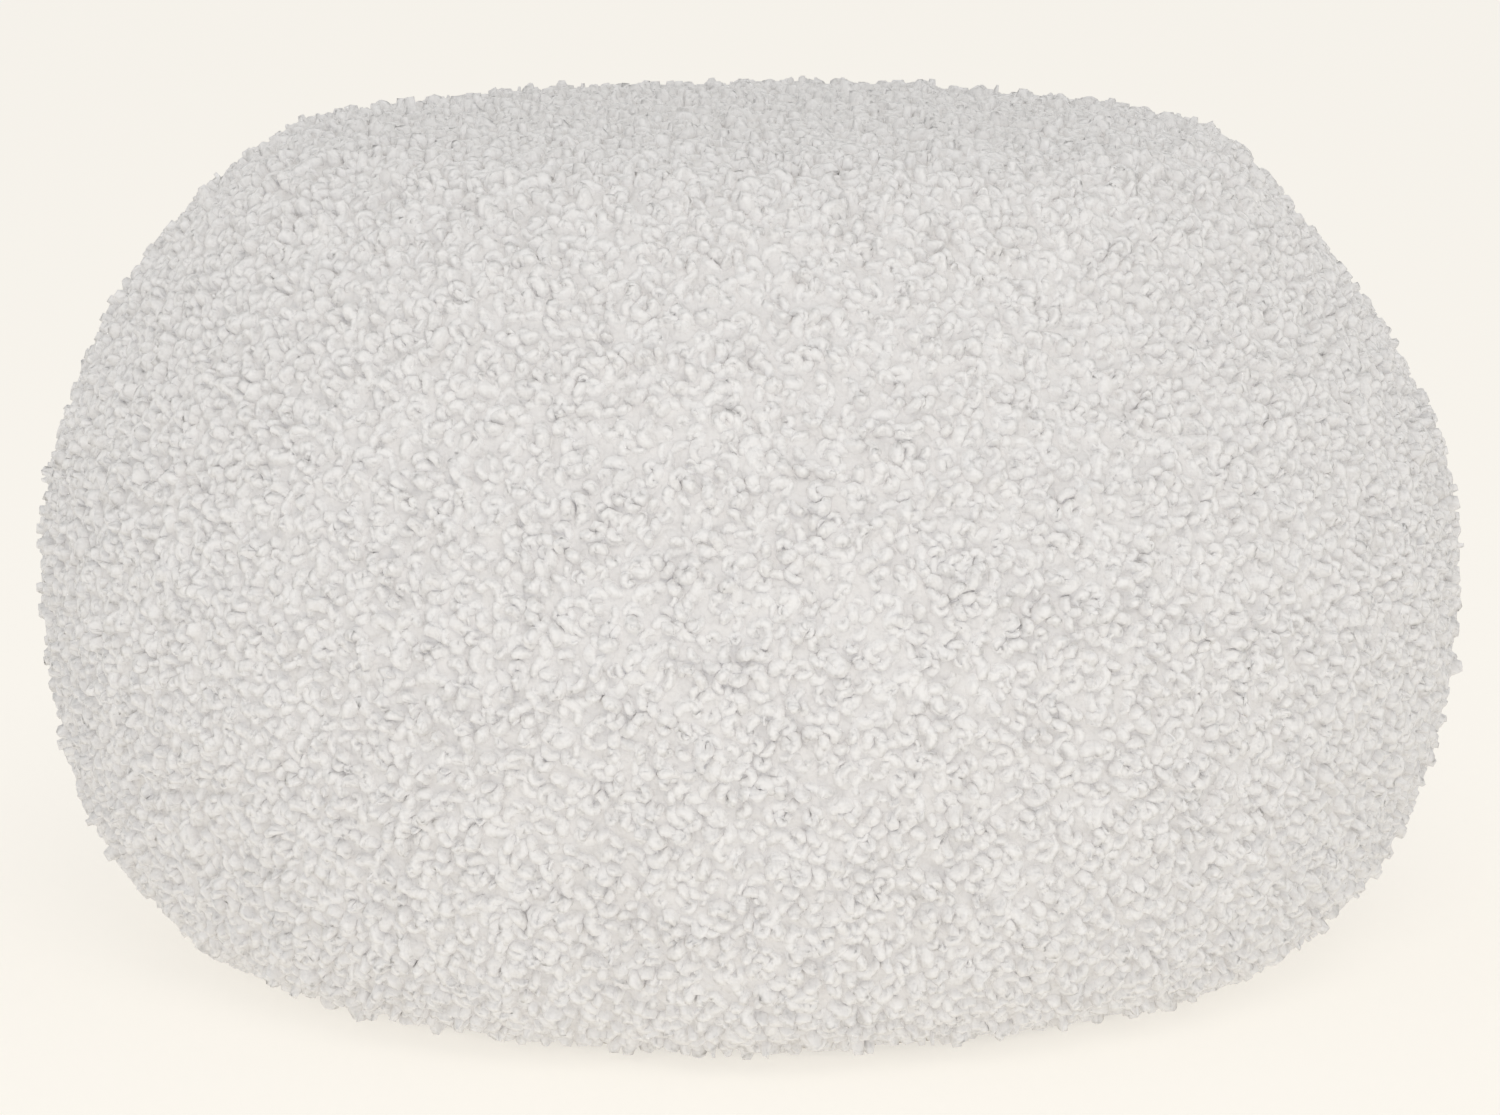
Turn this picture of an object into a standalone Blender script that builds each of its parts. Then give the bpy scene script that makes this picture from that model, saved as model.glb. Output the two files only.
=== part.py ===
"""Round floor pouf in curly-pile cloth.

It has a domed top panel, one deep side panel that the filling rounds out between its two seams,
and a plain woven base. The side panel is solid through, with a shallow recess at each end where
the other panel is sewn in. Every face is the reach of the pile, not its backing.

Units are metres and +Z is up. The origin is on the floor, under the middle of the pouf, and the
front faces -Y.
"""

from collections import namedtuple
from math import pi

import bmesh
import bpy
import numpy as np

# Driving sizes of the whole pouf
WIDTH = 0.598
HEIGHT = 0.3475
WIDEST_HEIGHT = 0.1655

# Top seam: where the shoulder meets the top panel, before the seam's crease is pressed in
TOP_SEAM_RADIUS = 0.180
TOP_SEAM_HEIGHT = 0.340
CREASE_DEPTH = 0.0025
CREASE_REACH = 0.016

# Foot: where the side panel turns under, and the base cloth inside it
FOOT_RADIUS = 0.2225
FOOT_LIFT = 0.0005
BASE_RADIUS = 0.212

# Fullness of the section: 1 is a quarter of an ellipse, and more is leaner
SHOULDER_POWER = 1.32
LOWER_POWER = 0.985

CLOTH_THICKNESS = 0.002
GAP = 0.0003

# How far the filling has sunk at the shoulder on the +X side. It is as much fuller opposite.
SLUMP = 0.0026

# Mesh steps
SIDE_SEGMENTS = 160
BASE_SEGMENTS = 96
SECTION_STEPS = 400
SEAM_RING_DISTANCES = (0.003, 0.007, 0.012)
SIDE_RINGS = 23
TOP_RING_RADII = (0.150, 0.128, 0.106, 0.084, 0.062, 0.040, 0.018)
TOP_RING_SEGMENTS = (160, 80, 80, 80, 40, 40, 20)

# A Wave is one run of even folds round the pouf. Several together make uneven ones.
# per_turn is how many folds go round, depth is half its height from crest to hollow, phase and
# lean turn it about Z, lean by so many radians for each metre up.
Wave = namedtuple("Wave", "per_turn depth phase lean")

GATHERS = (
    Wave(per_turn=34, depth=0.0008, phase=0.3, lean=1.2),
    Wave(per_turn=41, depth=0.0009, phase=2.2, lean=-0.9),
    Wave(per_turn=47, depth=0.0006, phase=4.0, lean=0.5),
)
FOOT_FOLDS = (
    Wave(per_turn=13, depth=0.0013, phase=1.1, lean=0.8),
    Wave(per_turn=18, depth=0.0015, phase=3.7, lean=-1.3),
    Wave(per_turn=26, depth=0.0008, phase=5.2, lean=0.6),
)

# Shallow humps of the filling under the cloth: how wide one is and how much that varies, its
# usual height, and how many waves in different directions are added up to make them uneven
HUMP_WIDTH = 0.045
HUMP_SPREAD = (0.7, 1.5)
HUMP_HEIGHT = 0.0009
HUMP_WAVES = 16
HUMP_SEED = 5

# Where each kind of fold starts, is full, starts to fade and is gone, measured along the section:
# the gathers from the top seam, and the folds from the foot
Reach = namedtuple("Reach", "start full fade gone")

GATHER_REACH = Reach(start=0.0, full=0.012, fade=0.030, gone=0.125)
FOOT_FOLD_REACH = Reach(start=0.0, full=0.030, fade=0.070, gone=0.170)
HUMP_EDGE = 0.020
SLUMP_REACH = Reach(start=0.030, full=0.060, fade=0.110, gone=0.190)

PILE_COLOUR = (0.78, 0.76, 0.73, 1.0)
PILE_ROUGHNESS = 0.95
BASE_COLOUR = (0.70, 0.68, 0.64, 1.0)
BASE_ROUGHNESS = 0.85


def clear_scene():
    for thing in list(bpy.data.objects):
        bpy.data.objects.remove(thing, do_unlink=True)


def make_material(name, colour, roughness):
    material = bpy.data.materials.new(name)
    material.use_nodes = True
    shader = material.node_tree.nodes["Principled BSDF"]
    shader.inputs["Base Color"].default_value = colour
    shader.inputs["Roughness"].default_value = roughness
    shader.inputs["Metallic"].default_value = 0.0
    return material


def smooth_step(value, low, high):
    share = np.clip((value - low) / (high - low), 0.0, 1.0)
    return share * share * (3.0 - 2.0 * share)


def within(distance, reach):
    rise = smooth_step(distance, reach.start, reach.full)
    return rise * (1.0 - smooth_step(distance, reach.fade, reach.gone))


def crease(distance):
    """How far the seam's crease lies below the plain surface, at a distance from the seam."""
    return CREASE_DEPTH * np.clip(1.0 - distance / CREASE_REACH, 0.0, 1.0) ** 2


def side_section():
    """Radius and height along the side, from the top seam down to the foot, as two arrays."""
    turn = np.linspace(0.0, pi / 2, SECTION_STEPS)
    half = WIDTH / 2
    shoulder_r = TOP_SEAM_RADIUS + (half - TOP_SEAM_RADIUS) * np.sin(turn) ** SHOULDER_POWER
    shoulder_z = WIDEST_HEIGHT + (TOP_SEAM_HEIGHT - WIDEST_HEIGHT) * np.cos(turn) ** SHOULDER_POWER
    shoulder_z -= crease(shoulder_r - TOP_SEAM_RADIUS)
    lower_r = FOOT_RADIUS + (half - FOOT_RADIUS) * np.cos(turn) ** LOWER_POWER
    lower_z = FOOT_LIFT + (WIDEST_HEIGHT - FOOT_LIFT) * (1.0 - np.sin(turn) ** LOWER_POWER)
    return np.append(shoulder_r, lower_r[1:]), np.append(shoulder_z, lower_z[1:])


def side_rings(angles):
    """The side's outer rings, top to bottom, each an array of points with one for each angle."""
    radius, height = side_section()
    run = np.append(0.0, np.cumsum(np.hypot(np.diff(radius), np.diff(height))))
    length = run[-1]
    even = np.linspace(SEAM_RING_DISTANCES[-1], length, SIDE_RINGS + 1)[1:]
    slope_r, slope_z = np.gradient(radius, run), np.gradient(height, run)
    rings = []
    for place in (0.0, *SEAM_RING_DISTANCES, *even):
        r, z = np.interp(place, run, radius), np.interp(place, run, height)
        normal_r, normal_z = -np.interp(place, run, slope_z), np.interp(place, run, slope_r)
        edges = smooth_step(place, 0.0, HUMP_EDGE) * smooth_step(length - place, 0.0, HUMP_EDGE)
        raised = fold_rise(GATHERS, angles, z) * within(place, GATHER_REACH)
        raised += hump_rise(ring_points(angles, r, z)) * edges
        raised -= SLUMP * np.cos(angles) * within(place, SLUMP_REACH)
        spread = fold_rise(FOOT_FOLDS, angles, z) * within(length - place, FOOT_FOLD_REACH)
        rings.append(ring_points(angles, r + normal_r * raised + spread, z + normal_z * raised))
    return rings


def fold_rise(waves, angles, height):
    """How far the folds of all these waves stand out, at each angle and at one height."""
    return sum(w.depth * np.cos(w.per_turn * (angles + w.lean * height) + w.phase) for w in waves)


def hump_rise(points):
    """Height of the filling's humps at each point: plane waves in all directions, added up."""
    draws = np.random.default_rng(HUMP_SEED)
    directions = draws.normal(size=(HUMP_WAVES, 3))
    directions /= np.linalg.norm(directions, axis=1, keepdims=True)
    lengths = 2 * HUMP_WIDTH * draws.uniform(*HUMP_SPREAD, (HUMP_WAVES, 1))
    phases = draws.uniform(0.0, 2 * pi, HUMP_WAVES)
    waves = np.cos(points @ (directions * 2 * pi / lengths).T + phases)
    return HUMP_HEIGHT * np.sqrt(2 / HUMP_WAVES) * waves.sum(axis=1)


def ring_points(angles, radius, height):
    """Points round the Z axis. The radius and height are each one number, or one for each angle."""
    heights = np.broadcast_to(height, angles.shape)
    return np.stack([radius * np.cos(angles), radius * np.sin(angles), heights], axis=1)


def even_angles(segments):
    return np.arange(segments) * 2 * pi / segments


def join_rings(mesh, upper, lower):
    """Faces between two rings of vertices. The lower one has as many, or half as many."""
    count = len(lower)
    for i in range(count):
        after = (i + 1) % count
        if len(upper) == count:
            mesh.faces.new((upper[i], lower[i], lower[after], upper[after]))
            continue
        first, middle, last = upper[2 * i], upper[2 * i + 1], upper[(2 * i + 2) % len(upper)]
        mesh.faces.new((first, lower[i], middle))
        mesh.faces.new((middle, lower[i], lower[after]))
        mesh.faces.new((middle, lower[after], last))


def turned_object(name, rings, material, height, parent):
    """One closed object from rings that run from one flat end to the other, with its own origin
    on the Z axis at a height."""
    mesh = bmesh.new()
    loops = [[mesh.verts.new(point - (0.0, 0.0, height)) for point in ring] for ring in rings]
    for upper, lower in zip(loops, loops[1:]):
        join_rings(mesh, upper, lower)
    mesh.faces.new(loops[0])
    mesh.faces.new(loops[-1])
    bmesh.ops.recalc_face_normals(mesh, faces=mesh.faces)
    data = bpy.data.meshes.new(name)
    mesh.to_mesh(data)
    mesh.free()
    data.shade_smooth()
    data.set_sharp_from_angle(angle=pi / 4)
    data.materials.append(material)
    thing = bpy.data.objects.new(name, data)
    thing.location = (0.0, 0.0, height)
    thing.parent = parent
    bpy.context.scene.collection.objects.link(thing)


def seam_edge_height():
    """Height of the cloth's edge in the top seam, at the bottom of the crease."""
    return TOP_SEAM_HEIGHT - CREASE_DEPTH


def make_side_panel(material, parent):
    """The filled side: recess for the top panel, shoulder, widest line, foot, recess for the base."""
    angles = even_angles(SIDE_SEGMENTS)
    recess_floor = seam_edge_height() - CLOTH_THICKNESS - GAP
    base_edge = BASE_RADIUS + GAP
    rings = [ring_points(angles, TOP_SEAM_RADIUS, recess_floor)]
    rings += side_rings(angles)
    rings.append(ring_points(angles, base_edge, FOOT_LIFT))
    rings.append(ring_points(angles, base_edge, CLOTH_THICKNESS + GAP))
    turned_object("side_panel", rings, material, WIDEST_HEIGHT, parent)


def make_top_panel(material, parent):
    """The domed top: a flat underside in the side's recess, a rolled edge and a low crown."""
    edge = TOP_SEAM_RADIUS - GAP
    crown = HEIGHT - TOP_SEAM_HEIGHT
    angles = even_angles(SIDE_SEGMENTS)
    rings = [ring_points(angles, edge, seam_edge_height() - CLOTH_THICKNESS)]
    rings.append(ring_points(angles, edge, seam_edge_height()))
    near_edge = [(edge - distance, SIDE_SEGMENTS) for distance in SEAM_RING_DISTANCES]
    for radius, segments in near_edge + list(zip(TOP_RING_RADII, TOP_RING_SEGMENTS)):
        angles = even_angles(segments)
        inward = edge - radius
        height = TOP_SEAM_HEIGHT + crown * (1.0 - (radius / edge) ** 2) - crease(inward)
        edges = smooth_step(inward, 0.0, HUMP_EDGE) * smooth_step(radius, TOP_RING_RADII[-1], 2 * HUMP_EDGE)
        raised = hump_rise(ring_points(angles, radius, height)) * edges
        rings.append(ring_points(angles, radius, height + raised))
    turned_object("top_panel", rings, material, seam_edge_height(), parent)


def make_base_panel(material, parent):
    """The plain round of cloth that the pouf stands on."""
    angles = even_angles(BASE_SEGMENTS)
    rings = [
        ring_points(angles, BASE_RADIUS, CLOTH_THICKNESS),
        ring_points(angles, BASE_RADIUS, 0.0),
    ]
    turned_object("base_panel", rings, material, 0.0, parent)


def build():
    clear_scene()
    pile = make_material("curly_pile", PILE_COLOUR, PILE_ROUGHNESS)
    woven = make_material("base_cloth", BASE_COLOUR, BASE_ROUGHNESS)
    pouf = bpy.data.objects.new("pouf", None)
    bpy.context.scene.collection.objects.link(pouf)
    make_top_panel(pile, pouf)
    make_side_panel(pile, pouf)
    make_base_panel(woven, pouf)


build()
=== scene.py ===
"""Looks of the round pouf in curly-pile cloth.

The pile has two layers. The skin of each padded panel carries the low, matted curls as relief, and
over it lie thousands of loose curls as real forms, joined into a few meshes. Most of the loose
curls are full ones, and some are thin strays. Both layers lie on a backing that runs a pile's
depth inside the solids, whose faces are the reach of the pile.

Units are metres, +Z is up and the front faces -Y, as in the frame.
"""

from collections import namedtuple
from math import cos, pi, radians, sin

import bpy
import numpy as np
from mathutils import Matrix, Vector
from mathutils.bvhtree import BVHTree
from mathutils.kdtree import KDTree

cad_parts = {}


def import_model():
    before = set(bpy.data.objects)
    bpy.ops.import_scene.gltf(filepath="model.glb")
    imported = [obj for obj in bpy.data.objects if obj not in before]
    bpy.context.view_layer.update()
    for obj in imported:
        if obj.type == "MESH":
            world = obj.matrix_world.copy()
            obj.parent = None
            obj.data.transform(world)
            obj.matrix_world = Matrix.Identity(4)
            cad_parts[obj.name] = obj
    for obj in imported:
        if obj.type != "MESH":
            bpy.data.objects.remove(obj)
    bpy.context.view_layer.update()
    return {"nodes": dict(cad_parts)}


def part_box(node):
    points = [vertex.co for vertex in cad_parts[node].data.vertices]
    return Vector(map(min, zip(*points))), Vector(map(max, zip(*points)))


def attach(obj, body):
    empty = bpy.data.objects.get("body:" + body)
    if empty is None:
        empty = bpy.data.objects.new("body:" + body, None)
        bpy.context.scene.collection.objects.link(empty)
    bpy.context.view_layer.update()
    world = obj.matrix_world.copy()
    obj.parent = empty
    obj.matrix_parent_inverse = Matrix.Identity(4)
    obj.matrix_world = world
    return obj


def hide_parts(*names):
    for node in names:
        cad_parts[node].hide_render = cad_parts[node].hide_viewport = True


# The solids' outer form is measured from a point on the axis, by turn round +Z and tilt from +Z,
# with rays that come in from well outside
MIDDLE = np.array([0.0, 0.0, 0.150])
TURNS = 480
TILTS = 220
LAST_TILT = radians(130)
OUTSIDE = 0.6
SMOOTHING_PASSES = 3

# Length over which the form's normals are measured, as a share of the distance from MIDDLE
NORMAL_SPAN = 0.012

# A direction takes its first axis from +Z, or from +X where this much of it or more is along Z
NEAR_AXIS = 0.9

# The foot's ring is what lies within this height of the side panel's lowest point
FOOT_SLICE = 0.001

# Depth of the pile from the solids' faces to its backing, and how far the skins end short of the
# top seam and of the foot
PILE_DEPTH = 0.0072
SEAM_MARGIN = 0.0012
FOOT_MARGIN = 0.0010

# Grid steps of the two skins
SIDE_STEP = 0.0031
TOP_STEP = 0.0026

# Each skin is closed inside the pouf by a ring of this share of its edge's width, this far in
SIDE_END_WIDTH = 0.94
SIDE_END_DEPTH = 0.004
TOP_END_WIDTH = 0.97
TOP_END_DEPTH = 0.003

# Pile that comes within this height of the floor is pressed flat
FLOOR_REACH = 0.004

# One kind of curl. pitch is the distance between curls, width how broad one is from its middle
# to its edge, length its run, bend the radius that it curls to, low how high its middle lies over
# what is below it, rise how far it arches up from there, and tall how tall its section is, as a
# share of its width.
Curls = namedtuple("Curls", "pitch width length bend low rise tall")

MATTED = Curls(
    pitch=0.0065,
    width=(0.0026, 0.0044),
    length=(0.005, 0.011),
    bend=(0.0015, 0.006),
    low=(0.0, 0.0006),
    rise=(0.0, 0.0020),
    tall=(0.45, 0.60),
)
FULL = Curls(
    pitch=0.0067,
    width=(0.0025, 0.0045),
    length=(0.005, 0.011),
    bend=(0.0018, 0.006),
    low=(0.0, 0.0008),
    rise=(0.0002, 0.0042),
    tall=(0.46, 0.70),
)
STRAY = Curls(
    pitch=0.0200,
    width=(0.0010, 0.0020),
    length=(0.004, 0.007),
    bend=(0.0016, 0.0040),
    low=(0.0, 0.0010),
    rise=(0.0012, 0.0054),
    tall=(0.6, 0.9),
)
MATTED_SEED = 23
LOOSE_SEED = 13

# How far a curl is shifted from its even place, as a share of the pitch
JITTER = 0.24

# The furthest that a curl turns round, in radians
WIDEST_TURN = 4.2

# Most curls lie low: a rise is drawn from its range with the draw raised to this power
RISE_RARITY = 3

# The part of a half wave that a curl arches up along: where on it the curl starts, and its length
MATTED_ARCH = (0.10, 0.75)
LOOSE_ARCH = (0.05, 0.80)

# How far a matted curl is looked for, how it narrows to its tip, how its rim is creased into what
# lies beside it, and how high the pile stands between the curls
MATTED_REACH = 0.010
MATTED_TAPER = 0.35
CREASE_DEPTH = 0.0006
CREASE_SOFTNESS = 0.0005
MATTED_FLOOR = 0.0018

# A loose curl is a row of rings, each open below. The section is across and up, from rim to rim,
# in shares of the curl's width.
CURL_RINGS = 5
CURL_SECTION = ((-1.0, 0.0), (-0.55, 0.75), (0.55, 0.75), (1.0, 0.0))

# It lies on the matted pile at this share of its height, with its rims sunk this far below that
SETTLE = 0.85
RIM_DEPTH = 0.0016

# It starts narrower, narrows to its tip, curls tighter there and is uneven all along
START_WIDTH = 0.75
CURL_TAPER = 0.40
TAPER_POWER = 1.5
TIP_TIGHTENS = 0.35
CURL_LUMPS = 0.12

# On the inside of a tight curl the crest and the rim keep to these shares of its radius
INNER_CREST = 0.85
INNER_RIM = 0.98

# Each loose curl has a square of the map, with this share left free at its sides. The top skin
# has a map of its own, with a narrower margin.
MAP_INSET = 0.08
TOP_MAP_MARGIN = 0.01

# Base cloth
BASE_THICKNESS = 0.0016
BASE_SEGMENTS = 128

# Bump of the pile. Grain and tufts: their texture scale, depth and strength. Waver: its texture
# scale, and how far it moves the tufts.
GRAIN = (700, 0.0008, 0.35)
TUFTS = ((330, 0.0012, 0.45), (170, 0.0026, 0.45))
WAVER = (140, 0.004)

# The pile has shade painted between its tufts and at its roots, where shade falls, and a little
# darker tone on some curls at random
PILE_CREST = (0.89, 0.882, 0.876, 1.0)
PILE_PAINTED_SHADE = (0.79, 0.775, 0.765, 1.0)
CREVICE_START = 0.45
PAINTED_CREVICE_SHADE = 0.5
PAINTED_ROOT_SHADE = 0.75
TONE_SPREAD = 0.12

# The base's weave: its threads' texture scale, their unevenness, and the depth and strength of
# its bump
WEAVE_SCALE = 160
WEAVE_UNEVEN = 0.6
WEAVE_DEPTH = 0.0003
WEAVE_STRENGTH = 0.4
BASE_THREAD = (0.72, 0.69, 0.64, 1.0)
BASE_SHADOW = (0.55, 0.52, 0.47, 1.0)

# Camera, from the fitted outline of the photo
CAMERA_AIM = Vector((0.0, 0.0, 0.1529))
CAMERA_DISTANCE = 2.0
CAMERA_TILT = radians(10.56)
CAMERA_LENS = 113.49
SENSOR_WIDTH = 36.0
FARTHEST_SHOWN = 200.0

# Light of the room all round, and the lamps
ROOM_LIGHT = 0.70
ROOM_COLOUR = (1.0, 1.0, 1.0, 1.0)
Lamp = namedtuple("Lamp", "place size watts colour")
LAMPS = {
    "low": Lamp(place=(0.0, -3.4, 0.45), size=1.2, watts=13.0, colour=(0.85, 0.88, 1.0)),
    "high": Lamp(place=(0.3, -2.2, 2.6), size=1.6, watts=15.4, colour=(1.0, 0.94, 0.83)),
}

# The floor glows a little, so that it stays as pale beside the pouf as it is far from it
FLOOR_COLOUR = (0.45, 0.435, 0.405, 1.0)
FLOOR_GLOW = (1.0, 0.965, 0.90, 1.0)
FLOOR_GLOW_STRENGTH = 0.60
FLOOR_HALF = 20.0
FLOOR_DEPTH = 60.0

GOLDEN_TURN = pi * (3 - 5**0.5)


# Measuring the solids


def measured_form(nodes):
    """Distance from MIDDLE out to the outer face of the solids, as a table of tilts by turns."""
    points = []
    faces = []
    for node in nodes:
        start = len(points)
        points += [v.co.copy() for v in node.data.vertices]
        faces += [[start + i for i in p.vertices] for p in node.data.polygons]
    tree = BVHTree.FromPolygons(points, faces)
    table = np.empty((TILTS, TURNS))
    middle = Vector(MIDDLE)
    for row, tilt in enumerate(np.linspace(0.0, LAST_TILT, TILTS)):
        for column, turn in enumerate(np.arange(TURNS) * 2 * pi / TURNS):
            outward = Vector((sin(tilt) * cos(turn), sin(tilt) * sin(turn), cos(tilt)))
            hit = tree.ray_cast(middle + outward * OUTSIDE, -outward)[0]
            table[row, column] = (hit - middle).length
    for _ in range(SMOOTHING_PASSES):
        table = (np.roll(table, 1, axis=1) + 2 * table + np.roll(table, -1, axis=1)) / 4
        padded = np.vstack([table[:1], table, table[-1:]])
        table = (padded[:-2] + 2 * table + padded[2:]) / 4
    return table


def foot_radius(node):
    """Radius of the side's lowest ring, where it turns under."""
    points = np.array([v.co for v in node.data.vertices])
    lowest = points[points[:, 2] < points[:, 2].min() + FOOT_SLICE]
    return np.hypot(lowest[:, 0], lowest[:, 1]).max()


def form_points(table, directions):
    """Points of the solids' outer form in these directions from MIDDLE."""
    unit = directions / np.linalg.norm(directions, axis=1, keepdims=True)
    tilt = np.arccos(np.clip(unit[:, 2], -1.0, 1.0)) / LAST_TILT * (TILTS - 1)
    turn = (np.arctan2(unit[:, 1], unit[:, 0]) % (2 * pi)) / (2 * pi) * TURNS
    row = np.clip(tilt.astype(int), 0, TILTS - 2)
    column = turn.astype(int) % TURNS
    after = (column + 1) % TURNS
    down, across = tilt - row, turn - turn.astype(int)
    upper = table[row, column] * (1 - across) + table[row, after] * across
    lower = table[row + 1, column] * (1 - across) + table[row + 1, after] * across
    return MIDDLE + unit * (upper * (1 - down) + lower * down)[:, None]


def form_frames(table, directions):
    """At each direction: the point on the outer form, its normal, and two axes along the form."""
    unit = directions / np.linalg.norm(directions, axis=1, keepdims=True)
    steep = np.abs(unit[:, 2:]) >= NEAR_AXIS
    helper = np.where(steep, [[1.0, 0.0, 0.0]], [[0.0, 0.0, 1.0]])
    first = np.cross(helper, unit)
    first /= np.linalg.norm(first, axis=1, keepdims=True)
    second = np.cross(unit, first)
    first *= NORMAL_SPAN
    second *= NORMAL_SPAN
    along = form_points(table, unit + first) - form_points(table, unit - first)
    down = form_points(table, unit + second) - form_points(table, unit - second)
    normal = np.cross(along, down)
    normal /= np.linalg.norm(normal, axis=1, keepdims=True)
    along /= np.linalg.norm(along, axis=1, keepdims=True)
    return form_points(table, unit), normal, along, np.cross(normal, along)


class Section:
    """The mean section of the form: tilt, radius, run and area from the top down."""

    def __init__(self, table):
        self.tilt = np.linspace(0.0, LAST_TILT, TILTS)
        reach = table.mean(axis=1)
        self.radius = reach * np.sin(self.tilt)
        height = MIDDLE[2] + reach * np.cos(self.tilt)
        steps = np.hypot(np.diff(self.radius), np.diff(height))
        self.run = np.append(0.0, np.cumsum(steps))
        bands = np.pi * (self.radius[1:] + self.radius[:-1]) * steps
        self.area = np.append(0.0, np.cumsum(bands))

    def at(self, kind, tilt):
        """The radius, run or area at this tilt."""
        return np.interp(tilt, self.tilt, getattr(self, kind))

    def tilt_at(self, kind, value):
        """The tilt at which the run or area has this value."""
        return np.interp(value, getattr(self, kind), self.tilt)

    def upper_tilt_at(self, radius):
        """The tilt above the widest line at which the radius has this value. The radius grows all
        through the upper half of the tilts."""
        upper = slice(TILTS // 2)
        return np.interp(radius, self.radius[upper], self.tilt[upper])


def directions_at(tilt, turn):
    """Unit directions from MIDDLE by their tilts and turns."""
    return np.stack([np.sin(tilt) * np.cos(turn), np.sin(tilt) * np.sin(turn), np.cos(tilt)], -1)


# Curls


def scattered(section, pitch, last_tilt, draws):
    """Directions to evenly strewn points from the top down to a tilt, as many as a honeycomb of
    this pitch has there. They follow a spiral by area, and each is shifted a little."""
    area = section.at("area", last_tilt)
    count = int(area / (pitch * pitch * 3**0.5 / 2))
    share = (np.arange(count) + 0.5 + draws.uniform(-JITTER, JITTER, count)) / count
    tilt = section.tilt_at("area", area * share)
    shift = draws.uniform(-JITTER, JITTER, (count, 2)) * pitch
    radius = np.maximum(section.at("radius", tilt), pitch)
    turn = np.arange(count) * GOLDEN_TURN + shift[:, 0] / radius
    shifted = section.tilt_at("run", section.at("run", tilt) + shift[:, 1])
    return directions_at(np.clip(shifted, 0.0, last_tilt), turn)


class CurlSet:
    """Curls of one kind at these directions. Each is an arc on the plane of its own frame."""

    def __init__(self, table, directions, kind, draws):
        count = len(directions)
        face, self.normal, across, along = form_frames(table, directions)
        self.point = face - self.normal * PILE_DEPTH
        spin = draws.uniform(0, 2 * pi, (count, 1))
        self.x_axis = across * np.cos(spin) + along * np.sin(spin)
        self.y_axis = np.cross(self.normal, self.x_axis)
        self.bend = draws.uniform(*kind.bend, count)
        self.sweep = np.minimum(draws.uniform(*kind.length, count) / self.bend, WIDEST_TURN)
        self.width = draws.uniform(*kind.width, count)
        self.low = draws.uniform(*kind.low, count)
        draw = draws.uniform(0.0, 1.0, count)
        self.rise = kind.rise[0] + np.ptp(kind.rise) * draw**RISE_RARITY
        self.tall = draws.uniform(*kind.tall, count)
        self.tone = draws.uniform(0.0, 1.0, count)
        self.count = count


def arch(part, share):
    """How far a curl has arched up at this share of its length, as a share of its rise."""
    start, length = part
    return np.sin(pi * (start + length * share))


def pairs_in_reach(curls, points):
    """Each curl with each point near it, as the numbers of the curls and of the points."""
    tree = KDTree(len(points))
    for index, point in enumerate(points):
        tree.insert(point, index)
    tree.balance()
    owner = []
    vertex = []
    for index, centre in enumerate(curls.point):
        near = [hit[1] for hit in tree.find_range(centre, MATTED_REACH)]
        owner += [index] * len(near)
        vertex += near
    return np.array(owner), np.array(vertex)


def from_arc(curls, owner, points):
    """Where each point lies beside its curl: the share of the curl's length, and the distance from
    the curl's arc."""
    offset = points - curls.point[owner]
    bend, sweep = curls.bend[owner], curls.sweep[owner]
    x = (offset * curls.x_axis[owner]).sum(axis=1) + bend
    y = (offset * curls.y_axis[owner]).sum(axis=1)
    half = sweep / 2
    angle = (np.arctan2(y, x) + half) % (2 * pi)
    beside = angle <= sweep
    to_start = np.hypot(x - bend * np.cos(half), y + bend * np.sin(half))
    to_end = np.hypot(x - bend * np.cos(half), y - bend * np.sin(half))
    share = np.where(beside, angle / sweep, np.where(to_start < to_end, 0.0, 1.0))
    away = np.where(beside, np.abs(np.hypot(x, y) - bend), np.minimum(to_start, to_end))
    return share, away


def relief(curls, points):
    """How high the matted curls stand over the backing at each point. The rim of the highest
    curl is creased where another one lies close under it."""
    owner, vertex = pairs_in_reach(curls, points)
    share, away = from_arc(curls, owner, points[vertex])
    reach = curls.width[owner] * (1 - MATTED_TAPER * share)
    crown = curls.low[owner] + curls.rise[owner] * arch(MATTED_ARCH, share)
    height = crown + curls.tall[owner] * np.sqrt(np.maximum(reach**2 - away**2, 0.0))
    height = np.where(away < reach, np.maximum(height, MATTED_FLOOR), MATTED_FLOOR)
    order = np.lexsort((height, vertex))
    vertex, height = vertex[order], height[order]
    last = np.flatnonzero(np.append(vertex[1:] != vertex[:-1], True))
    before = np.maximum(last - 1, 0)
    shared = vertex[before] == vertex[last]
    highest = np.full(len(points), MATTED_FLOOR)
    second = np.full(len(points), MATTED_FLOOR)
    highest[vertex[last]] = height[last]
    second[vertex[last][shared]] = height[before[shared]]
    return highest - CREASE_DEPTH * np.exp((second - highest) / CREASE_SOFTNESS)


def centre_lines(curls):
    """The middle of each curl's rings, on the plane of its frame, and the way outwards there. The
    radius shrinks towards the tip."""
    share = np.linspace(0.0, 1.0, CURL_RINGS)
    angle = curls.sweep[:, None] * (share - 0.5)
    outward = np.stack([np.cos(angle), np.sin(angle)], -1)
    radius = curls.bend[:, None] * (1 - TIP_TIGHTENS * share)
    middle = radius[..., None] * outward
    middle[..., 0] -= curls.bend[:, None]
    return share, radius, middle, outward


def placed(curls, local):
    """World points from points in each curl's own frame."""
    return (
        curls.point[:, None]
        + local[..., :1] * curls.x_axis[:, None]
        + local[..., 1:2] * curls.y_axis[:, None]
        + local[..., 2:] * curls.normal[:, None]
    )


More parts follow.
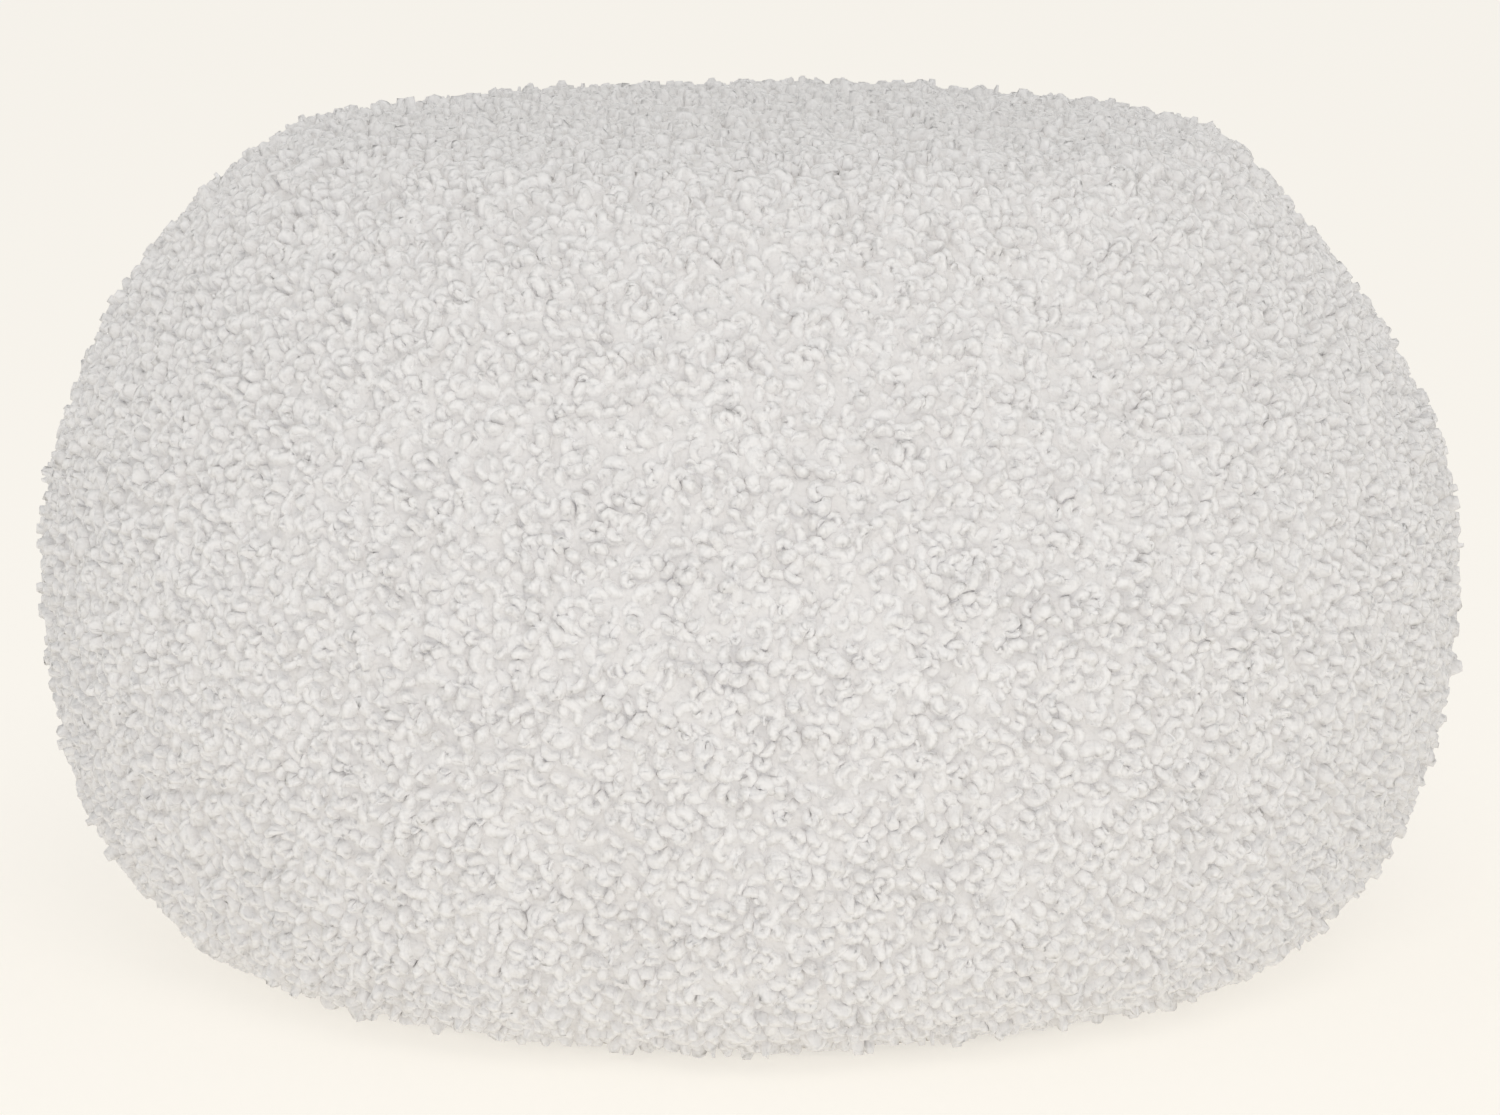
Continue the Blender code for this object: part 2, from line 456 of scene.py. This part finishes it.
def curl_vertices(curls, matted, draws):
    """All the loose curls' vertices: rings of points along each arc, and a point at either end.
    A ring bulges up between two rims, which sink into the matted curls, and is open below."""
    share, radius, middle, outward = centre_lines(curls)
    lines = placed(curls, np.concatenate([middle, np.zeros_like(middle[..., :1])], axis=-1))
    ground = SETTLE * relief(matted, lines.reshape(-1, 3)).reshape(curls.count, CURL_RINGS)
    height = ground + curls.low[:, None] + curls.rise[:, None] * arch(LOOSE_ARCH, share)
    width = curls.width[:, None] * (1 - CURL_TAPER * share**TAPER_POWER)
    width[:, 0] *= START_WIDTH
    bulge = np.array(CURL_SECTION)
    lumps = 1 + draws.uniform(-CURL_LUMPS, CURL_LUMPS, (curls.count, CURL_RINGS, len(bulge)))
    across = width[..., None] * lumps * bulge[:, 0]
    across[..., 0] = np.maximum(across[..., 0], -INNER_RIM * radius)
    across[..., 1] = np.maximum(across[..., 1], -INNER_CREST * radius)
    up = width[..., None] * lumps * bulge[:, 1] * curls.tall[:, None, None]
    rim = ground - RIM_DEPTH
    rings = np.empty((curls.count, CURL_RINGS, len(bulge), 3))
    rings[..., :2] = middle[:, :, None] + outward[:, :, None] * across[..., None]
    rings[..., 2] = np.where(bulge[:, 1] > 0, height[..., None] + up, rim[..., None])
    ends = np.empty((curls.count, 2, 3))
    for number, (ring, way) in enumerate(((0, -1), (-1, 1))):
        onward = way * np.stack([-outward[:, ring, 1], outward[:, ring, 0]], -1)
        ends[:, number, :2] = middle[:, ring] + onward * width[:, ring, None]
        ends[:, number, 2] = rim[:, ring]
    return placed(curls, np.concatenate([rings.reshape(curls.count, -1, 3), ends], axis=1))


def loose_curls(table, section, foot_tilt, matted):
    """Directions, tones and vertices of all the curls that lie over the matted ones."""
    draws = np.random.default_rng(LOOSE_SEED)
    sets = []
    for kind in (FULL, STRAY):
        directions = scattered(section, kind.pitch, foot_tilt, draws)
        curls = CurlSet(table, directions, kind, draws)
        sets.append((directions, curls.tone, curl_vertices(curls, matted, draws)))
    return [np.concatenate(values) for values in zip(*sets)]


def curl_pattern():
    """Faces of one loose curl, and the place of each of their corners on a unit square."""
    across = len(CURL_SECTION)
    faces = []
    places = []
    start, tip = CURL_RINGS * across, CURL_RINGS * across + 1
    for side in range(across - 1):
        left, right = side / (across - 1), (side + 1) / (across - 1)
        middle = (left + right) / 2
        for ring in range(CURL_RINGS - 1):
            a, b = ring * across + side, ring * across + side + 1
            c, d = a + across, b + across
            low, high = (ring + 1) / (CURL_RINGS + 1), (ring + 2) / (CURL_RINGS + 1)
            faces += [(a, d, b), (a, c, d)]
            places += [
                ((left, low), (right, high), (right, low)),
                ((left, low), (left, high), (right, high)),
            ]
        last = (CURL_RINGS - 1) * across + side
        low, high = 1 / (CURL_RINGS + 1), CURL_RINGS / (CURL_RINGS + 1)
        faces += [(start, side, side + 1), (tip, last + 1, last)]
        places += [
            ((middle, 0.0), (left, low), (right, low)),
            ((middle, 1.0), (right, high), (left, high)),
        ]
    return np.array(faces), np.array(places)


# Meshes


def add_object(name, data):
    """An object in the scene from its mesh, lamp or camera."""
    thing = bpy.data.objects.new(name, data)
    bpy.context.scene.collection.objects.link(thing)
    return thing


def pile_piece(name, data, corner_places, tones, material):
    """An object of the pile from its mesh. Corner places become its map, and tones a value at each
    vertex."""
    layer = data.uv_layers.new(name="OFBake")
    layer.uv.foreach_set("vector", corner_places.ravel())
    tone = data.attributes.new("tone", "FLOAT", "POINT")
    tone.data.foreach_set("value", tones)
    data.validate()
    data.shade_smooth()
    data.materials.append(material)
    return add_object(name, data)


def clear_of_floor(points):
    """Presses what would reach into the floor flat on it."""
    squeezed = FLOOR_REACH * np.exp((points[..., 2] - FLOOR_REACH) / FLOOR_REACH)
    points[..., 2] = np.where(points[..., 2] < FLOOR_REACH, squeezed, points[..., 2])
    return points


def curl_piece(name, points, tones, material):
    """These loose curls, joined into one mesh. Each has its own square of the map, and has shade
    painted at its rims and ends, where they sink into the pile."""
    points = clear_of_floor(points)
    count, each = points.shape[:2]
    pattern, places = curl_pattern()
    faces = (pattern[None] + np.arange(count)[:, None, None] * each).reshape(-1, 3)
    squares = int(np.ceil(count**0.5))
    corner = np.stack([np.arange(count) % squares, np.arange(count) // squares], -1)
    inset = MAP_INSET + (1 - 2 * MAP_INSET) * places
    spots = (corner[:, None, None] + inset[None]) / squares
    at_rim = [up == 0 for _, up in CURL_SECTION] * CURL_RINGS + [True, True]
    # Painted shade: the rims and ends of each curl are coloured darker, where shade falls at the
    # roots
    tones = TONE_SPREAD * tones[:, None] + PAINTED_ROOT_SHADE * np.array(at_rim)

    data = bpy.data.meshes.new(name)
    data.vertices.add(count * each)
    data.vertices.foreach_set("co", points.ravel())
    data.loops.add(faces.size)
    data.loops.foreach_set("vertex_index", faces.ravel())
    data.polygons.add(len(faces))
    data.polygons.foreach_set("loop_start", np.arange(len(faces)) * 3)
    data.update(calc_edges=True)
    return pile_piece(name, data, spots, tones.ravel(), material)


def skin_piece(name, points, quads, spots, ends, material):
    """The skin of a panel: quads with their places on the map, and end faces that don't show. All
    of it has the painted shade of the roots, as it shows only deep between the curls.
    """
    data = bpy.data.meshes.new(name)
    data.from_pydata(points.tolist(), [], quads.tolist() + ends)
    hidden = np.zeros((sum(len(end) for end in ends), 2))
    places = np.concatenate([spots.reshape(-1, 2), hidden])
    return pile_piece(name, data, places, np.full(len(points), PAINTED_ROOT_SHADE), material)


def ring_faces(rows, columns):
    """Quads of a band that closes on itself, from its rings of points."""
    index = np.arange(rows * columns).reshape(rows, columns)
    after = np.roll(index, -1, axis=1)
    quads = np.stack([index[:-1], index[1:], after[1:], after[:-1]], -1)
    return quads.reshape(-1, 4)


def end_faces(rows, columns):
    """The first and the last ring of such a band, each as one face."""
    last = (rows - 1) * columns
    return [list(range(columns)), list(range(last + columns - 1, last - 1, -1))]


def ring_places(rows, columns):
    """Places on the map of the corners of such a band's quads."""
    row, column = np.meshgrid(np.arange(rows - 1), np.arange(columns), indexing="ij")
    u0, u1 = column / columns, (column + 1) / columns
    v0, v1 = 1 - row / rows, 1 - (row + 1) / rows
    corners = [(u0, v0), (u0, v1), (u1, v1), (u1, v0)]
    return np.stack([np.stack(c, -1) for c in corners], 2).reshape(-1, 4, 2)


def drawn_in(ring, share, lift):
    """A ring again, narrower and moved along the axis."""
    return ring * (share, share, 1.0) + (0.0, 0.0, lift)


def matted_points(table, directions, curls):
    """Points of the matted pile in these directions from MIDDLE."""
    face, normal, _, _ = form_frames(table, directions)
    backing = face - normal * PILE_DEPTH
    return backing + normal * relief(curls, backing)[:, None]


def side_skin(table, section, seam_tilt, foot_tilt, curls, material):
    """The filled side: its matted pile as relief, closed by flat ends inside the pouf."""
    first = section.at("run", seam_tilt) + SEAM_MARGIN
    last = section.at("run", foot_tilt) - FOOT_MARGIN
    rows = int((last - first) / SIDE_STEP)
    columns = int(2 * pi * section.radius.max() / SIDE_STEP)
    tilts = section.tilt_at("run", np.linspace(first, last, rows))
    turns = np.arange(columns) * 2 * pi / columns
    tilt, turn = (grid.ravel() for grid in np.meshgrid(tilts, turns, indexing="ij"))
    points = clear_of_floor(matted_points(table, directions_at(tilt, turn), curls))
    grid = points.reshape(rows, columns, 3)
    top = drawn_in(grid[0], SIDE_END_WIDTH, -SIDE_END_DEPTH)
    foot = drawn_in(grid[-1], SIDE_END_WIDTH, SIDE_END_DEPTH)
    points = np.concatenate([top, points, foot])
    rows += 2
    faces = ring_faces(rows, columns)
    spots = ring_places(rows, columns)
    return skin_piece("side_skin", points, faces, spots, end_faces(rows, columns), material)


def top_skin(table, section, seam_tilt, curls, material):
    """The domed top with its matted pile as relief, closed by a flat underside. Its points are a
    square grid, rounded to a disk."""
    radius = section.at("radius", seam_tilt) - SEAM_MARGIN
    count = int(2 * radius / TOP_STEP)
    a, b = np.meshgrid(np.linspace(-1, 1, count), np.linspace(-1, 1, count), indexing="ij")
    x = radius * a * np.sqrt(1 - b * b / 2)
    y = radius * b * np.sqrt(1 - a * a / 2)
    directions = directions_at(section.upper_tilt_at(np.hypot(x, y)), np.arctan2(y, x))
    points = matted_points(table, directions.reshape(-1, 3), curls)
    index = np.arange(count * count).reshape(count, count)
    corners = [index[:-1, :-1], index[1:, :-1], index[1:, 1:], index[:-1, 1:]]
    quads = np.stack(corners, -1).reshape(-1, 4)
    rim = np.concatenate([index[:, 0], index[-1, 1:], index[-2::-1, -1], index[0, -2:0:-1]])
    under = drawn_in(points[rim], TOP_END_WIDTH, -TOP_END_DEPTH)
    lower = len(points) + np.arange(len(rim))
    band = np.stack([lower, np.roll(lower, -1), np.roll(rim, -1), rim], -1)
    faces = np.concatenate([quads, band])
    place = np.stack([(a + 1) / 2, (b + 1) / 2], -1).reshape(-1, 2)
    place = TOP_MAP_MARGIN + (1 - 2 * TOP_MAP_MARGIN) * place
    spots = np.concatenate([place, place[rim]])[faces]
    ends = [lower[::-1].tolist()]
    return skin_piece("top_skin", np.concatenate([points, under]), faces, spots, ends, material)


def base_cloth(radius, material):
    """The plain woven round under the pouf."""
    turns = np.arange(BASE_SEGMENTS) * 2 * pi / BASE_SEGMENTS
    ring = np.stack([radius * np.cos(turns), radius * np.sin(turns), np.zeros(BASE_SEGMENTS)], -1)
    points = np.concatenate([ring + (0.0, 0.0, BASE_THICKNESS), ring])
    faces = ring_faces(2, BASE_SEGMENTS).tolist() + end_faces(2, BASE_SEGMENTS)
    data = bpy.data.meshes.new("base_woven")
    data.from_pydata(points.tolist(), [], faces)
    data.materials.append(material)
    return add_object("base_woven", data)


# Materials


def set_inputs(node, **inputs):
    """Sets inputs of a node, each by its name with _ for a space."""
    for name, value in inputs.items():
        node.inputs[name.replace("_", " ")].default_value = value
    return node


def add_node(tree, kind, **inputs):
    """A node with some of its inputs set."""
    return set_inputs(tree.nodes.new(kind), **inputs)


def add_maths(tree, operation, first, second):
    """The result of a sum or product of two outputs."""
    node = tree.nodes.new("ShaderNodeMath")
    node.operation = operation
    tree.links.new(first, node.inputs[0])
    tree.links.new(second, node.inputs[1])
    return node.outputs[0]


def add_colour(tree, share, first, second):
    """A colour between two, by an output from 0 to 1."""
    mix = tree.nodes.new("ShaderNodeMix")
    mix.data_type = "RGBA"
    set_inputs(mix, A=first, B=second)
    tree.links.new(share, mix.inputs["Factor"])
    return mix.outputs["Result"]


def new_material(name, **inputs):
    """A material with some of its shader's inputs set, and its node tree and shader."""
    material = bpy.data.materials.new(name)
    material.use_nodes = True
    tree = material.node_tree
    return material, tree, set_inputs(tree.nodes["Principled BSDF"], **inputs)


def pile_material():
    """Soft matt curls: rounded tufts of two sizes and a fibre grain as bump, with shade painted
    between the tufts and at the roots.
    """
    material, tree, shader = new_material(
        "pile", Roughness=0.95, Specular_IOR_Level=0.1, Sheen_Weight=0.08, Sheen_Roughness=0.5
    )
    link = tree.links.new
    place = tree.nodes.new("ShaderNodeTexCoord").outputs["Object"]

    scale, depth, strength = GRAIN
    grain = add_node(tree, "ShaderNodeTexNoise", Scale=scale, Detail=3)
    link(place, grain.inputs["Vector"])
    below = add_node(tree, "ShaderNodeBump", Strength=strength, Distance=depth)
    link(grain.outputs["Fac"], below.inputs["Height"])

    scale, shift = WAVER
    waver = add_node(tree, "ShaderNodeTexNoise", Scale=scale, Detail=2)
    link(place, waver.inputs["Vector"])
    moved = tree.nodes.new("ShaderNodeVectorMath")
    moved.operation = "MULTIPLY_ADD"
    moved.inputs[1].default_value = (shift, shift, shift)
    link(waver.outputs["Color"], moved.inputs[0])
    link(place, moved.inputs[2])

    for scale, depth, strength in TUFTS:
        tufts = add_node(tree, "ShaderNodeTexVoronoi", Scale=scale)
        link(moved.outputs[0], tufts.inputs["Vector"])
        distance = tufts.outputs["Distance"]
        bump = add_node(tree, "ShaderNodeBump", Strength=strength, Distance=depth)
        bump.invert = True
        link(add_maths(tree, "MULTIPLY", distance, distance), bump.inputs["Height"])
        link(below.outputs["Normal"], bump.inputs["Normal"])
        below = bump
    link(below.outputs["Normal"], shader.inputs["Normal"])

    # The larger tufts' distance, from the loop's last turn, paints shade into the crevices between
    # them
    painted_crevice_shade = add_node(tree, "ShaderNodeMapRange", From_Min=CREVICE_START, To_Max=PAINTED_CREVICE_SHADE)
    link(distance, painted_crevice_shade.inputs["Value"])
    # The tone attribute holds painted shade at the roots and a random tone on each curl
    tone = tree.nodes.new("ShaderNodeAttribute")
    tone.attribute_name = "tone"
    shade = add_maths(tree, "ADD", painted_crevice_shade.outputs["Result"], tone.outputs["Fac"])
    shade.node.use_clamp = True
    link(add_colour(tree, shade, PILE_CREST, PILE_PAINTED_SHADE), shader.inputs["Base Color"])
    return material


def base_material():
    """A plain weave, its threads about a millimetre wide."""
    material, tree, shader = new_material("weave", Roughness=0.85, Specular_IOR_Level=0.2)
    link = tree.links.new
    place = tree.nodes.new("ShaderNodeTexCoord").outputs["Object"]
    threads = []
    for direction in ("X", "Y"):
        wave = add_node(
            tree, "ShaderNodeTexWave", Scale=WEAVE_SCALE, Distortion=WEAVE_UNEVEN, Detail=1
        )
        wave.bands_direction = direction
        link(place, wave.inputs["Vector"])
        threads.append(wave.outputs["Fac"])
    weave = add_maths(tree, "MULTIPLY", *threads)
    link(add_colour(tree, weave, BASE_SHADOW, BASE_THREAD), shader.inputs["Base Color"])
    bump = add_node(tree, "ShaderNodeBump", Strength=WEAVE_STRENGTH, Distance=WEAVE_DEPTH)
    link(weave, bump.inputs["Height"])
    link(bump.outputs["Normal"], shader.inputs["Normal"])
    return material


# Stage


def make_floor():
    """A wide matt floor, which glows a little."""
    data = bpy.data.meshes.new("floor")
    corners = [
        (-FLOOR_HALF, -FLOOR_HALF, 0),
        (FLOOR_HALF, -FLOOR_HALF, 0),
        (FLOOR_HALF, FLOOR_DEPTH, 0),
        (-FLOOR_HALF, FLOOR_DEPTH, 0),
    ]
    data.from_pydata(corners, [], [(0, 1, 2, 3)])
    material, _, shader = new_material("floor", Roughness=1.0, Specular_IOR_Level=0.0)
    set_inputs(
        shader,
        Base_Color=FLOOR_COLOUR,
        Emission_Color=FLOOR_GLOW,
        Emission_Strength=FLOOR_GLOW_STRENGTH,
    )
    data.materials.append(material)
    floor = add_object("floor", data)


def make_light():
    """Even soft light from all round, and two broad lamps in front, one low and one high."""
    world = bpy.data.worlds.new("studio")
    bpy.context.scene.world = world
    world.use_nodes = True
    set_inputs(world.node_tree.nodes["Background"], Strength=ROOM_LIGHT, Color=ROOM_COLOUR)
    for name, lamp in LAMPS.items():
        data = bpy.data.lights.new(name, "AREA")
        data.shape = "DISK"
        data.size = lamp.size
        data.energy = lamp.watts
        data.color = lamp.colour
        holder = add_object(name, data)
        holder.location = lamp.place
        towards = CAMERA_AIM - Vector(lamp.place)
        holder.rotation_euler = towards.to_track_quat("-Z", "Y").to_euler()


def make_camera():
    """The camera that the photo was taken with, as far as its outline tells."""
    camera = bpy.data.cameras.new("camera")
    camera.lens = CAMERA_LENS
    camera.sensor_width = SENSOR_WIDTH
    camera.clip_end = FARTHEST_SHOWN
    holder = add_object("camera", camera)
    away = Vector((0.0, -cos(CAMERA_TILT), sin(CAMERA_TILT)))
    holder.location = CAMERA_AIM + away * CAMERA_DISTANCE
    holder.rotation_euler = (-away).to_track_quat("-Z", "Y").to_euler()
    bpy.context.scene.camera = holder


def rides(piece, node):
    """Fixes a piece to the pouf, in place of a node of the solids."""
    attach(piece, "root")
    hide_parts(node)


def build():
    """Measures the solids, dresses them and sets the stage."""
    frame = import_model()
    nodes = frame["nodes"]
    table = measured_form([nodes["side_panel"], nodes["top_panel"], nodes["base_panel"]])
    section = Section(table)
    top_low, top_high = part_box("top_panel")
    base_low, base_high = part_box("base_panel")
    seam_tilt = section.upper_tilt_at((top_high.x - top_low.x) / 2)
    foot_tilt = np.arctan2(foot_radius(nodes["side_panel"]), -MIDDLE[2])

    pile = pile_material()
    draws = np.random.default_rng(MATTED_SEED)
    directions = scattered(section, MATTED.pitch, foot_tilt, draws)
    matted = CurlSet(table, directions, MATTED, draws)
    side = side_skin(table, section, seam_tilt, foot_tilt, matted, pile)
    rides(side, "side_panel")
    top = top_skin(table, section, seam_tilt, matted, pile)
    rides(top, "top_panel")

    directions, tones, points = loose_curls(table, section, foot_tilt, matted)
    quarter = (np.arctan2(directions[:, 1], directions[:, 0]) // (pi / 2)).astype(int) % 4
    on_top = np.arccos(directions[:, 2]) < seam_tilt
    for number in range(4):
        chosen = ~on_top & (quarter == number)
        piece = curl_piece(f"side_curls_{number + 1}", points[chosen], tones[chosen], pile)
        rides(piece, "side_panel")
    piece = curl_piece("top_curls", points[on_top], tones[on_top], pile)
    rides(piece, "top_panel")

    base = base_cloth((base_high.x - base_low.x) / 2, base_material())
    rides(base, "base_panel")

    make_floor()
    make_light()
    make_camera()
    bpy.context.scene.view_settings.view_transform = "Standard"


build()
